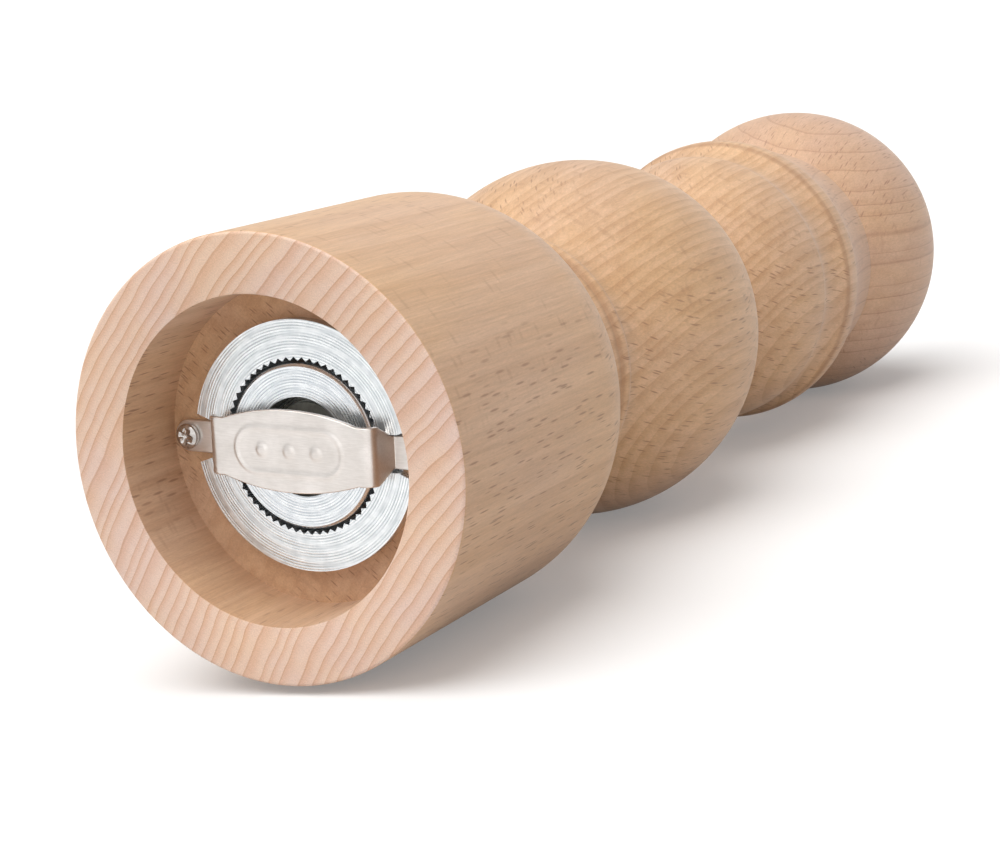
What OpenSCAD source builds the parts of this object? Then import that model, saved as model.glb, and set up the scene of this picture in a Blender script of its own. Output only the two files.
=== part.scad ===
// Turned wooden pepper mill with a carbon steel grinder, standing on its base.
// The axis of the mill is Z, the flat base ring is at z = 0 and the bracket lies along X.

/* [Body outline] */
// Radius of the cylindrical base
base_r = 30; // [27:0.5:36]
// Height at which the straight base ends and its shoulder starts
base_straight = 41; // [30:0.5:50]
// Small rounding where the base face meets the side
rim_round = 0.5; // [0.2:0.1:1]
// How far the shoulder curve reaches inwards
shoulder_reach = 11; // [9:0.1:13]
// How far the shoulder curve reaches upwards
shoulder_rise = 14.5; // [10:0.1:20]
// Radius of the thin bead above the shoulder
bead_r = 21.3; // [20:0.1:23]
// Height of the bead above the end of the shoulder curve
bead_gap = 13.5; // [10:0.1:16]
// Thickness of the bead
bead_t = 2.5; // [1.5:0.1:3.5]
// Largest radius of the middle ball
ball_r = 29; // [27:0.1:32]
// Half length of the ball's full curve
ball_half = 32.6; // [30:0.1:34]
// Height from the bead to the middle of the ball
ball_rise = 26.1; // [25:0.1:30]
// Radius of the bell just under its groove
bell_r = 24.4; // [22:0.1:27]
// Half length of the bell's full curve
bell_half = 23.2; // [20:0.1:26]
// Height from the middle of the ball to the widest part of the bell
bell_rise = 51.3; // [48:0.1:58]
// Radius of the lip above the groove
lip_r = 26.2; // [25:0.1:28]
// Height from the bell's widest part to the edge of the lip
lip_rise = 10.7; // [8:0.1:13]
// Height of the rounded strip from the lip's edge to the top of the body
lip_strip = 4.6; // [3:0.1:6]

/* [Head outline] */
// Radius of the head where it meets the body
collar_r = 24.6; // [22:0.1:25]
// Largest radius of the head
head_r = 28.1; // [25:0.1:31]
// Half height of the head's full curve
head_half = 27.9; // [25:0.1:30]
// Height from the seam to the middle of the head
head_rise = 33.8; // [30:0.1:38]
// Width of the flat on top of the head outside the washer
top_flat_lap = 0.4; // [0.1:0.1:2]
// Gap between the body and the head
seam_gap = 0.3; // [0.1:0.1:0.5]

/* [Hollows of the body] */
// Free width between a bracket foot and the wall of the recess
foot_clear = 0.75; // [0.4:0.05:2]
// Depth of the recess in the base
recess_depth = 11.6; // [10:0.1:15]
// Radius of the bore that holds the peppercorns
hopper_r = 12; // [11:0.1:13]
// Length of the tenon under the head
tenon_len = 10; // [8:0.5:14]
// Radius of the tenon under the head
tenon_r = 15.8; // [15:0.1:16.5]
// Radial clearance of the tenon in its socket
tenon_clear = 0.3; // [0.2:0.05:0.6]
// Free height under the drive plate's screws
socket_spare = 1.2; // [0.8:0.1:3]

/* [Grinder] */
// Width of the ring's flange outside its barrel
flange_w = 2.6; // [2:0.1:4]
// Thickness of the ring's flange
ring_t = 1.6; // [1.2:0.1:2.4]
// Thickness of the barrel outside its coarse teeth
barrel_wall = 1.55; // [1:0.05:2.5]
// Clearance of the barrel in the wood
barrel_clear = 0.05; // [0.02:0.01:0.1]
// Gap between the rotor's edge and the crests of the ring's teeth
grind_gap = 0.35; // [0.3:0.05:0.5]
// Depth of the ring's fine teeth
fine_depth = 0.55; // [0.4:0.05:0.7]
// Number of fine teeth in the ring
fine_teeth = 60; // [48:4:72]
// Height of the fine grinding zone
fine_h = 5.2; // [4:0.1:6]
// Number of coarse teeth in the barrel
coarse_teeth = 12; // [8:1:16]
// Depth of the coarse teeth
coarse_depth = 1.4; // [0.8:0.1:1.8]
// Radius of the rotor's lower edge
rotor_r = 11.2; // [9.5:0.1:13]
// How far the rotor stands out of the ring
rotor_proud = 0.3; // [-0.2:0.1:0.5]
// Height of the plain disc at the rotor's lower edge
rotor_disc_h = 1; // [0.6:0.1:1.4]
// Bevel round the rotor's lower edge
rotor_bevel = 0.35; // [0.2:0.05:0.5]
// How much the rotor's fine zone narrows towards its top
rotor_taper = 0.5; // [0.3:0.05:0.8]
// Height of the rotor's coarse cone
cone_h = 7; // [6:0.5:9]
// How far the cone's top reaches past the spring
cone_lap = 0.5; // [0.3:0.1:1.5]
// Number of flights on the rotor's cone
flights = 6; // [4:1:8]
// Turn of each flight from bottom to top, in degrees
flight_twist = 50; // [30:5:80]
// Radius of the recess under the rotor
rotor_recess_r = 6.75; // [6.2:0.05:8]
// Depth of the recess under the rotor
rotor_recess_h = 3; // [2.5:0.1:3.5]

/* [Shaft and spring] */
// Width across the flats of the square shaft
shaft_w = 5; // [4:0.1:6]
// Clearance on each side of the shaft in a square hole
square_clear = 0.1; // [0.05:0.01:0.15]
// Clearance round the shaft's corners in a round hole
round_clear = 0.3; // [0.2:0.05:0.6]
// Length of the threaded end of the shaft
thread_len = 14; // [11:0.5:18]
// How far the riveted head reaches past the shaft's corners
rivet_lap = 0.3; // [0.2:0.05:0.6]
// Height of the riveted head
rivet_h = 1.2; // [0.8:0.1:1.4]
// Radius of the rotor's washer
washer_r = 5.6; // [5:0.1:6]
// Thickness of the rotor's washer
washer_t = 1; // [0.6:0.1:1.2]
// Wire diameter of the spring
spring_wire = 0.8; // [0.6:0.05:1]
// Clearance between the spring and the shaft's corners
spring_clear = 0.55; // [0.3:0.05:1]
// Length of the spring between the rotor and its seat
spring_len = 5.6; // [4.6:0.1:9]
// Number of turns in the spring
spring_turns = 4; // [3:0.5:5]
// How far the spring seat reaches past the spring
seat_lap = 1.1; // [0.3:0.1:2]
// Thickness of the spring seat
seat_t = 1; // [0.8:0.1:1.4]
// Thickness of the bridge over the barrel
bridge_t = 1.4; // [1:0.1:2]
// Width of the bridge on each side of the shaft's hole
bridge_side = 1.2; // [1:0.1:3]

/* [Bracket] */
// Thickness of the bracket's strip
strip_t = 0.8; // [0.7:0.05:1.1]
// How far the bracket's plate reaches past the ring's teeth
plate_reach = 0.9; // [0.9:0.1:1.6]
// Width of the plate at its middle
plate_w = 11.2; // [9:0.1:13]
// Width of the plate at its square ends
plate_end_w = 7.9; // [6:0.1:8.5]
// Length of each square end
plate_end_len = 2.6; // [2:0.1:3.5]
// Height of the plate's outer face over the ring's face
plate_drop = 3.4; // [2.6:0.1:4.4]
// Width of the two feet
foot_w = 4.5; // [4:0.1:5]
// Distance of each screw from the edge of the ring
screw_out = 1.8; // [1.7:0.1:2.4]
// How far the bracket's legs lean outwards
leg_lean = 0.6; // [0.4:0.1:0.9]
// Clearance between a foot and the notch in the ring
notch_clear = 0.3; // [0.2:0.05:0.6]
// Extra width of each notch at the ring's edge
notch_flare = 1.3; // [0.6:0.1:2]

/* [Screws] */
// Head radius of the screws
screw_head_r = 1.75; // [1.6:0.05:2]
// Head height of the screws
screw_head_h = 1.2; // [0.9:0.1:1.4]
// Shank radius of the screws
screw_shank_r = 1.1; // [0.9:0.05:1.2]
// Shank length of the screws
screw_len = 8; // [6:0.5:9]
// Clearance round a screw's shank
screw_clear = 0.05; // [0.03:0.01:0.1]
// Distance of the drive plate's screws from the axis
plate_screw_x = 9; // [8.5:0.1:9.5]

/* [Drive plate and knob] */
// Radius of the drive plate under the tenon
drive_plate_r = 12.5; // [12:0.1:13]
// Thickness of the drive plate
drive_plate_t = 1.5; // [1:0.1:2]
// Radius of the washer under the knob
knob_washer_r = 6.8; // [6:0.1:7.2]
// Thickness of the washer under the knob
knob_washer_t = 0.8; // [0.6:0.1:1.2]
// Radius of the knob
knob_r = 6.2; // [5.5:0.1:7]
// Height of the knob
knob_h = 9; // [8:0.5:12]
// Radius of the knob's foot
knob_foot_r = 4.6; // [4.2:0.1:5]
// Height of the knob's foot
knob_foot_h = 2; // [1.5:0.1:3]
// Number of grooves in the knob's grip
knob_grooves = 24; // [16:2:32]
// Depth of the grooves in the knob's grip
knob_groove_depth = 0.35; // [0.2:0.05:0.5]
// Free height inside the knob over the end of the shaft
knob_spare = 1.1; // [0.9:0.1:2]

/* [Hidden] */
$fn = 96;
eps = 0.01;
wood = "burlywood";
steel = "lightsteelblue";
zinc = "silver";
dark_steel = "dimgray";

// Gap left between pieces that turn or slide on each other
face_gap = 0.3;
// Step between one stretch of the rotor and the next
edge_step = 0.1;
// Points in each curved stretch of a turned outline
arc_steps = 18;

// Radii that follow the shaft
shaft_corner_r = shaft_w / sqrt(2);
shaft_hole_r = shaft_corner_r + round_clear;
shaft_square = shaft_w + 2 * square_clear;
thread_r = shaft_w / 2;
rivet_r = shaft_corner_r + rivet_lap;
spring_r = shaft_corner_r + spring_clear + spring_wire / 2;
spring_edge_r = spring_r + spring_wire / 2;
seat_r = spring_edge_r + seat_lap;
cone_top_r = spring_edge_r + cone_lap;
bridge_w = 2 * (shaft_hole_r + bridge_side);

// Radii and distances that follow the rotor
ring_crest_r = rotor_r + grind_gap;
ring_root_r = ring_crest_r + fine_depth;
barrel_r = ring_crest_r + coarse_depth + barrel_wall;
ring_r = barrel_r + flange_w;
barrel_bore_r = barrel_r + barrel_clear;
plate_half = ring_root_r + plate_reach;
screw_x = ring_r + screw_out;
recess_r = screw_x + foot_w / 2 + foot_clear;
top_flat_r = knob_washer_r + top_flat_lap;

// Heights up the mill, each from the one below it
shoulder_end = 62;
shoulder_top_z = base_straight + shoulder_rise * sin(shoulder_end);
shoulder_top_r = base_r - shoulder_reach + shoulder_reach * cos(shoulder_end);
bead_z = shoulder_top_z + bead_gap;
ball_z = bead_z + ball_rise;
bell_z = ball_z + bell_rise;
lip_z = bell_z + lip_rise;
body_top = lip_z + lip_strip;
head_seat = body_top + seam_gap;
head_z = head_seat + head_rise;
head_top_angle = acos(top_flat_r / head_r);
head_top = head_z + head_half * sin(head_top_angle);
tenon_bottom = head_seat - tenon_len;
drive_plate_z = tenon_bottom - drive_plate_t;
socket_floor = drive_plate_z - screw_head_h - socket_spare;

// Heights inside the grinder
ring_z = recess_depth - ring_t;
plate_z = ring_z - plate_drop;
fine_top = ring_z + fine_h;
rotor_z = ring_z - rotor_proud;
rotor_fine_z = rotor_z + rotor_disc_h;
rotor_cone_z = rotor_z + fine_h;
rotor_top = rotor_cone_z + cone_h;
washer_z = rotor_z + rotor_recess_h - washer_t;
shaft_bottom = washer_z - rivet_h;
spring_z = rotor_top;
seat_z = spring_z + spring_len;
bridge_z = seat_z + seat_t + face_gap;
barrel_top = bridge_z + bridge_t;
bore_end = barrel_top + 1;

// Heights at the top
knob_washer_z = head_top + 0.1;
knob_z = knob_washer_z + knob_washer_t + 0.1;
thread_top = knob_z + knob_h - 1 - knob_spare;
thread_start = thread_top - thread_len;

// Points of an ellipse about (0, z) in the outline plane, from angle a0 to a1
function oval(r, half, z, a0, a1, r_mid = 0) =
    [for (i = [0:arc_steps]) let (a = a0 + (a1 - a0) * i / arc_steps)
        [r_mid + r * cos(a), z + half * sin(a)]];

// Points of a shallow curve from p to q that swells by s at its middle, both ends left out
function swell(p, q, s) =
    [for (i = [1:arc_steps - 1]) let (t = i / arc_steps)
        [p[0] + (q[0] - p[0]) * t + 4 * s * t * (1 - t), p[1] + (q[1] - p[1]) * t]];

// Outline of a disc whose edge carries n sharp teeth between two radii
function toothed(n, crest, root) =
    [for (i = [0:2 * n - 1]) let (a = 180 * i / n, r = i % 2 == 0 ? crest : root)
        [r * cos(a), r * sin(a)]];

// Places along the outline where one curve meets the next
cove_start = [shoulder_top_r, shoulder_top_z];
bead_foot = [bead_r - 0.8, bead_z - bead_t / 2];
bead_head = [bead_r - 0.6, bead_z + bead_t / 2];
ball_start = -43;
ball_end = 50;
bell_start = -45;
ball_foot = [ball_r * cos(ball_start), ball_z + ball_half * sin(ball_start)];
ball_top = [ball_r * cos(ball_end), ball_z + ball_half * sin(ball_end)];
bell_foot = [bell_r * cos(bell_start), bell_z + bell_half * sin(bell_start)];
groove_top = [lip_r - 0.3, lip_z - 2];
lip_edge = [lip_r, lip_z];
body_edge = [lip_r - 1.1, body_top];
head_start = -38;
head_foot = [head_r * cos(head_start), head_z + head_half * sin(head_start)];

body_outline = concat(
    oval(rim_round, rim_round, rim_round, -90, 0, base_r - rim_round),
    oval(shoulder_reach, shoulder_rise, base_straight, 0, shoulder_end, base_r - shoulder_reach),
    swell(cove_start, bead_foot, -1.9),
    [bead_foot],
    swell(bead_foot, bead_head, 0.7),
    [bead_head],
    swell(bead_head, ball_foot, -0.25),
    oval(ball_r, ball_half, ball_z, ball_start, ball_end),
    swell(ball_top, bell_foot, -1),
    oval(bell_r, bell_half, bell_z, bell_start, 0),
    swell([bell_r, bell_z], groove_top, -1.2),
    [groove_top],
    swell(groove_top, lip_edge, 0.1),
    [lip_edge],
    swell(lip_edge, body_edge, 0.35),
    [body_edge]);

body_hollow = [
    [tenon_r + tenon_clear, body_top],
    [tenon_r + tenon_clear, socket_floor],
    [hopper_r, socket_floor],
    [hopper_r, bore_end],
    [barrel_bore_r, bore_end],
    [barrel_bore_r, recess_depth],
    [recess_r, recess_depth],
    [recess_r, 0]];

head_outline = concat(
    [[shaft_hole_r, tenon_bottom], [tenon_r, tenon_bottom], [tenon_r, head_seat]],
    [[collar_r, head_seat]],
    swell([collar_r, head_seat], head_foot, -0.6),
    oval(head_r, head_half, head_z, head_start, head_top_angle),
    [[shaft_hole_r, head_top]]);

// A pan head screw with a cross recess that points down and goes up into the wood
module pan_screw(x, z, grip) {
    translate([x, 0, z]) {
        difference() {
            rotate_extrude()
                polygon([
                    [0, -screw_head_h], [screw_head_r * 0.55, -screw_head_h],
                    [screw_head_r * 0.88, -screw_head_h * 0.8],
                    [screw_head_r, -screw_head_h * 0.35], [screw_head_r, 0],
                    [screw_shank_r, 0], [screw_shank_r, screw_len + grip - 1.5],
                    [0, screw_len + grip]]);
            for (a = [45, 135])
                rotate([0, 0, a])
                    translate([-screw_head_r * 0.6, -0.2, -screw_head_h - eps])
                        cube([screw_head_r * 1.2, 0.4, 0.6]);
        }
    }
}

// A square prism on the axis
module square_bar(w, z0, z1) {
    translate([-w / 2, -w / 2, z0])
        cube([w, w, z1 - z0]);
}

// The turned wooden body with its recess, bore and socket
module body() {
    color(wood)
        difference() {
            rotate_extrude()
                polygon(concat(body_outline, body_hollow));
            for (s = [-1, 1])
                translate([s * screw_x, 0, recess_depth - eps])
                    cylinder(r = screw_shank_r + screw_clear, h = screw_len + 1, $fn = 32);
        }
}

// The turned wooden head with its tenon
module head() {
    color(wood)
        difference() {
            rotate_extrude()
                polygon(head_outline);
            for (s = [-1, 1])
                translate([s * plate_screw_x, 0, tenon_bottom - eps])
                    cylinder(r = screw_shank_r + screw_clear, h = screw_len + 1, $fn = 32);
        }
}

// The notch in the ring's flange that a bracket foot passes through
module ring_notch() {
    inner = plate_half + leg_lean / 2 - strip_t - notch_clear / 2;
    half_in = foot_w / 2 + notch_clear;
    half_out = half_in + notch_flare;
    translate([0, 0, ring_z - 1])
        linear_extrude(ring_t + 1)
            polygon([[inner, -half_in], [barrel_r, -half_in], [ring_r + 1, -half_out],
                     [ring_r + 1, half_out], [barrel_r, half_in], [inner, half_in]]);
}

// The fixed grinding ring: a notched flange and a toothed barrel in one piece
module stator_ring() {
    color(steel)
        difference() {
            union() {
                translate([0, 0, ring_z])
                    cylinder(r = ring_r, h = ring_t);
                translate([0, 0, ring_z])
                    cylinder(r = barrel_r, h = barrel_top - ring_z);
            }
            translate([0, 0, ring_z - 1])
                linear_extrude(fine_top - ring_z + 1)
                    polygon(toothed(fine_teeth, ring_crest_r, ring_root_r));
            translate([0, 0, fine_top - eps])
                linear_extrude(barrel_top - fine_top + 1)
                    polygon(toothed(coarse_teeth, ring_crest_r, ring_crest_r + coarse_depth));
            for (a = [0, 180])
                rotate([0, 0, a])
                    ring_notch();
            translate([-barrel_r - 1, -bridge_w / 2, bridge_z])
                cube([2 * barrel_r + 2, bridge_w, bridge_t + 1]);
        }
}

// The flat bridge across the barrel that guides the shaft
module stator_bridge() {
    color(zinc)
        translate([0, 0, bridge_z])
            difference() {
                intersection() {
                    cylinder(r = barrel_r, h = bridge_t);
                    translate([-barrel_r, -bridge_w / 2, 0])
                        cube([2 * barrel_r, bridge_w, bridge_t]);
                }
                translate([0, 0, -1])
                    cylinder(r = shaft_hole_r, h = bridge_t + 2);
            }
}

// How far the arched middle runs into each end of the plate
end_lap = 0.3;

// Flat outline of the bracket's plate: a wide middle with arched sides and square ends
module plate_outline() {
    flat = plate_half - plate_end_len;
    rise = (plate_w - plate_end_w) / 2;
    arch_r = (flat * flat + rise * rise) / (2 * rise);
    intersection() {
        translate([0, plate_w / 2 - arch_r])
            circle(r = arch_r, $fn = 192);
        translate([0, arch_r - plate_w / 2])
            circle(r = arch_r, $fn = 192);
        // past the arch's end, so that the arch crosses the sides of the ends cleanly
        square([2 * (flat + end_lap), plate_w], center = true);
    }
    square([2 * plate_half, plate_end_w], center = true);
}

// One leg and foot of the bracket, seen from the side and widened to w
module bracket_side(w, from_z, to_z, foot_x) {
    x0 = plate_half;
    x1 = plate_half + leg_lean;
    rotate([90, 0, 0])
        linear_extrude(w, center = true)
            intersection() {
                polygon([
                    [x0 - strip_t, plate_z], [x0, plate_z], [x1, recess_depth - strip_t],
                    [foot_x, recess_depth - strip_t], [foot_x, recess_depth],
                    [x1 - strip_t, recess_depth], [x0 - strip_t, plate_z + strip_t]]);
                translate([0, from_z])
                    square([foot_x + 1, to_z - from_z]);
            }
}

// The formed strip that spans the rotor and is screwed down at both ends
module bracket() {
    color("lightgray")
        difference() {
            union() {
                translate([0, 0, plate_z])
                    linear_extrude(strip_t)
                        plate_outline();
                for (a = [0, 180])
                    rotate([0, 0, a]) {
                        bracket_side(plate_end_w, plate_z, ring_z - face_gap, screw_x);
                        bracket_side(foot_w, plate_z, recess_depth, screw_x);
                        translate([screw_x, 0, recess_depth - strip_t])
                            cylinder(r = foot_w / 2, h = strip_t);
                    }
            }
            for (s = [-1, 1])
                translate([s * screw_x, 0, recess_depth - strip_t - 1])
                    cylinder(r = screw_shank_r + screw_clear, h = strip_t + 2, $fn = 32);
        }
}

module bracket_screw_left() {
    color("gainsboro")
        pan_screw(-screw_x, recess_depth - strip_t, strip_t);
}

module bracket_screw_right() {
    color("gainsboro")
        pan_screw(screw_x, recess_depth - strip_t, strip_t);
}

// The turning cone: a bevelled disc, fine teeth, then spiral flights
module rotor() {
    crest = rotor_r - edge_step;
    root = crest - fine_depth;
    top_share = (crest - rotor_taper) / crest;
    flight_r = root - rotor_taper - edge_step;
    sunk = 0.4;
    color(steel)
        difference() {
            union() {
                translate([0, 0, rotor_z])
                    cylinder(r1 = rotor_r - rotor_bevel, r2 = rotor_r, h = rotor_bevel);
                translate([0, 0, rotor_z + rotor_bevel])
                    cylinder(r = rotor_r, h = rotor_disc_h - rotor_bevel);
                translate([0, 0, rotor_fine_z - sunk])
                    linear_extrude(rotor_cone_z - rotor_fine_z + sunk, scale = top_share)
                        polygon(toothed(fine_teeth - 2, crest, root));
                translate([0, 0, rotor_cone_z - sunk])
                    linear_extrude(cone_h + sunk, scale = cone_top_r / flight_r,
                                   twist = -flight_twist, slices = 14)
                        polygon([for (i = [0:flights - 1]) each flight_points(flight_r, i)]);
            }
            translate([0, 0, rotor_z - 1])
                cylinder(r = rotor_recess_r, h = rotor_recess_h + 1);
            square_bar(shaft_square, rotor_z, rotor_top + 1);
        }
}

// Edge of flight n: a ramp that swells from the core to full radius, then drops
function flight_points(r, n) =
    [for (i = [0:7]) let (t = i / 7, a = (n + 0.97 * t) * 360 / flights, s = 0.8 + 0.2 * t)
        [r * s * cos(a), r * s * sin(a)]];

// The washer in the recess under the rotor
module rotor_washer() {
    color(dark_steel)
        difference() {
            translate([0, 0, washer_z])
                cylinder(r = washer_r, h = washer_t);
            square_bar(shaft_square, washer_z - 1, washer_z + washer_t + 1);
        }
}

// The square shaft with its riveted foot and threaded end
module drive_shaft() {
    color(zinc) {
        translate([0, 0, shaft_bottom])
            cylinder(r1 = rivet_r * 0.7, r2 = rivet_r, h = rivet_h);
        square_bar(shaft_w, shaft_bottom + rivet_h - eps, thread_start);
        translate([0, 0, thread_start - eps])
            cylinder(r = thread_r, h = thread_top - thread_start + eps, $fn = 48);
    }
}

// The square holed washer that turns with the shaft and holds the spring's top
module spring_seat() {
    color(zinc)
        difference() {
            translate([0, 0, seat_z])
                cylinder(r = seat_r, h = seat_t);
            square_bar(shaft_square, seat_z - 1, seat_z + seat_t + 1);
        }
}

// One round of points about the spring's wire at step i of n
spring_sides = 8;
spring_rounds = 24 * spring_turns;
function wire_ring(i) =
    let (a = 360 * i / 24,
         rise = (spring_len - spring_wire) * i / spring_rounds,
         z = spring_z + spring_wire / 2 + rise)
    [for (k = [0:spring_sides - 1]) let (b = 360 * k / spring_sides,
        r = spring_r + spring_wire / 2 * cos(b))
        [r * cos(a), r * sin(a), z + spring_wire / 2 * sin(b)]];

// The coiled spring that presses the rotor down
module grind_spring() {
    points = [for (i = [0:spring_rounds]) each wire_ring(i)];
    sides = [for (i = [0:spring_rounds - 1], k = [0:spring_sides - 1])
        let (k2 = (k + 1) % spring_sides, p = i * spring_sides, q = p + spring_sides)
        [p + k, q + k, q + k2, p + k2]];
    first = [for (k = [0:spring_sides - 1]) k];
    last = [for (k = [spring_sides - 1:-1:0]) spring_rounds * spring_sides + k];
    color(dark_steel)
        polyhedron(points = points, faces = concat(sides, [first, last]));
}

// The plate under the tenon that turns the shaft
module drive_plate() {
    color(zinc)
        difference() {
            translate([0, 0, drive_plate_z])
                cylinder(r = drive_plate_r, h = drive_plate_t);
            square_bar(shaft_square, drive_plate_z - 1, tenon_bottom + 1);
            for (s = [-1, 1])
                translate([s * plate_screw_x, 0, drive_plate_z - 1])
                    cylinder(r = screw_shank_r + screw_clear, h = drive_plate_t + 2, $fn = 32);
        }
}

module drive_plate_screw_left() {
    color("gainsboro")
        pan_screw(-plate_screw_x, drive_plate_z, 0);
}

module drive_plate_screw_right() {
    color("gainsboro")
        pan_screw(plate_screw_x, drive_plate_z, 0);
}

// The washer between the knob and the wood
module knob_washer() {
    color(zinc)
        translate([0, 0, knob_washer_z])
            difference() {
                cylinder(r = knob_washer_r, h = knob_washer_t);
                translate([0, 0, -1])
                    cylinder(r = thread_r + round_clear, h = knob_washer_t + 2);
            }
}

// The knob that screws onto the shaft and sets how fine the mill grinds
module adjusting_knob() {
    color("lightgray")
        translate([0, 0, knob_z])
            difference() {
                union() {
                    cylinder(r = knob_foot_r, h = knob_foot_h);
                    translate([0, 0, knob_foot_h])
                        cylinder(r = knob_r, h = knob_h - knob_foot_h - 1);
                    translate([0, 0, knob_h - 1])
                        cylinder(r1 = knob_r, r2 = knob_r - 1, h = 1);
                }
                translate([0, 0, -1])
                    cylinder(r = thread_r + square_clear / 2, h = knob_h, $fn = 48);
                for (i = [0:knob_grooves - 1])
                    rotate([0, 0, 360 * i / knob_grooves])
                        translate([knob_r + 0.6 - knob_groove_depth, 0, knob_foot_h - 1])
                            cylinder(r = 0.6, h = knob_h, $fn = 16);
            }
}

body();
head();
stator_ring();
stator_bridge();
bracket();
bracket_screw_left();
bracket_screw_right();
rotor();
rotor_washer();
drive_shaft();
spring_seat();
grind_spring();
drive_plate();
drive_plate_screw_left();
drive_plate_screw_right();
knob_washer();
adjusting_knob();
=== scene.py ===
# %% [markdown]
# A turned beech pepper mill, seen from under its base. The measured model is the frame: it gives
# every piece its place. This script adds what the eye looks for: smooth turned wood with its
# growth rings, zinc with turning marks, a pressed bracket with soft bends. All sizes in the cells
# are in millimetres, and MM turns them into the metres that Blender works in.

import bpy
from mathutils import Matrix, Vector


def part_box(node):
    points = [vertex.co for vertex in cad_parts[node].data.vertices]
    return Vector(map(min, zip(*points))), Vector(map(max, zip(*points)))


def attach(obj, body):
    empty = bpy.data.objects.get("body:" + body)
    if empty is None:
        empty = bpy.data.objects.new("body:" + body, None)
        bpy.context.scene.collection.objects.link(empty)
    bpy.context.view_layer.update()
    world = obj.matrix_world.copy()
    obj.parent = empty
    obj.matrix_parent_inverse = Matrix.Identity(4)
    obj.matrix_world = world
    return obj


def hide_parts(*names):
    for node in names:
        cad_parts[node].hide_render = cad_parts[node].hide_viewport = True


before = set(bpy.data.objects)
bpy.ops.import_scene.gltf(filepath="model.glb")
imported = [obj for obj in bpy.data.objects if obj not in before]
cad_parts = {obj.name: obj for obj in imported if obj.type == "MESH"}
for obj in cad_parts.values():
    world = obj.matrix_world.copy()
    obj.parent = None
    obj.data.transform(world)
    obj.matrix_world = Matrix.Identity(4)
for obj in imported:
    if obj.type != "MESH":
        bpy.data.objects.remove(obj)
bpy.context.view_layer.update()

# %% Tools of the workshop
import math

import bmesh
import bpy
from mathutils import Matrix, Vector

MM = 0.001
scene = bpy.context.scene


def height_of(node):
    """Lowest and highest height of a frame node, in millimetres."""
    low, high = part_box(node)
    return low[2] / MM, high[2] / MM


def reach_of(node):
    """How far a frame node reaches from the axis along X, in millimetres."""
    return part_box(node)[1][0] / MM


print("body from", height_of("body"), "reach", reach_of("body"))

# %% [markdown]
# The camera looks up at the base, a little from the right. It could be aimed with a constraint,
# but a plain matrix of its right, up and backward directions says where it stands with no
# surprises, so that is used here.

# %% Camera
camera = bpy.data.objects.new("camera", bpy.data.cameras.new("camera"))
scene.collection.objects.link(camera)
scene.camera = camera
camera_right = Vector((0.88323, 0.03931, 0.46729))
camera_up = Vector((-0.06736, -0.97551, 0.20937))
camera_back = camera_right.cross(camera_up).normalized()
turn = Matrix((camera_right, camera_up, camera_back)).transposed()
camera.matrix_world = Matrix.Translation((0.15792, -0.06414, -0.22727)) @ turn.to_4x4()
camera.data.lens = 79.2
camera.data.sensor_width = 36
camera.data.clip_start = 0.01
camera.data.clip_end = 10
print("camera looks along", tuple(round(v, 3) for v in -camera_back))

# %% [markdown]
# A finish is a net of small nodes. They could be wired one by one with add and link calls, but
# then the maths is lost among them. Here a wire can be added, multiplied and compared like a
# number, so that 1 - mask makes its own node, and one method makes every other kind of node.

# %% Wires: shader maths written as Python
class Wire:
    """A socket that can be added, multiplied and compared like a number."""

    def __init__(self, finish, socket):
        self.finish = finish
        self.socket = socket

    def math(self, operation, first, second=0.0):
        return self.finish.node("ShaderNodeMath", {"operation": operation}, {0: first, 1: second})

    def __add__(self, other):
        return self.math("ADD", self, other)

    def __radd__(self, other):
        return self.math("ADD", other, self)

    def __sub__(self, other):
        return self.math("SUBTRACT", self, other)

    def __rsub__(self, other):
        return self.math("SUBTRACT", other, self)

    def __mul__(self, other):
        return self.math("MULTIPLY", self, other)

    def __rmul__(self, other):
        return self.math("MULTIPLY", other, self)

    def __truediv__(self, other):
        return self.math("DIVIDE", self, other)

    def __gt__(self, other):
        return self.math("GREATER_THAN", self, other)

    def __abs__(self):
        return self.math("ABSOLUTE", self)

    def sine(self):
        return self.math("SINE", self)

    def fraction(self):
        return self.math("FRACT", self)

    def at_most(self, other):
        return self.math("MINIMUM", self, other)

    def fade(self, start, end):
        """0 at start and before, 1 at end and after, smooth between."""
        sockets = {"Value": self, "From Min": start, "From Max": end}
        settings = {"interpolation_type": "SMOOTHSTEP"}
        return self.finish.node("ShaderNodeMapRange", settings, sockets)


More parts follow.
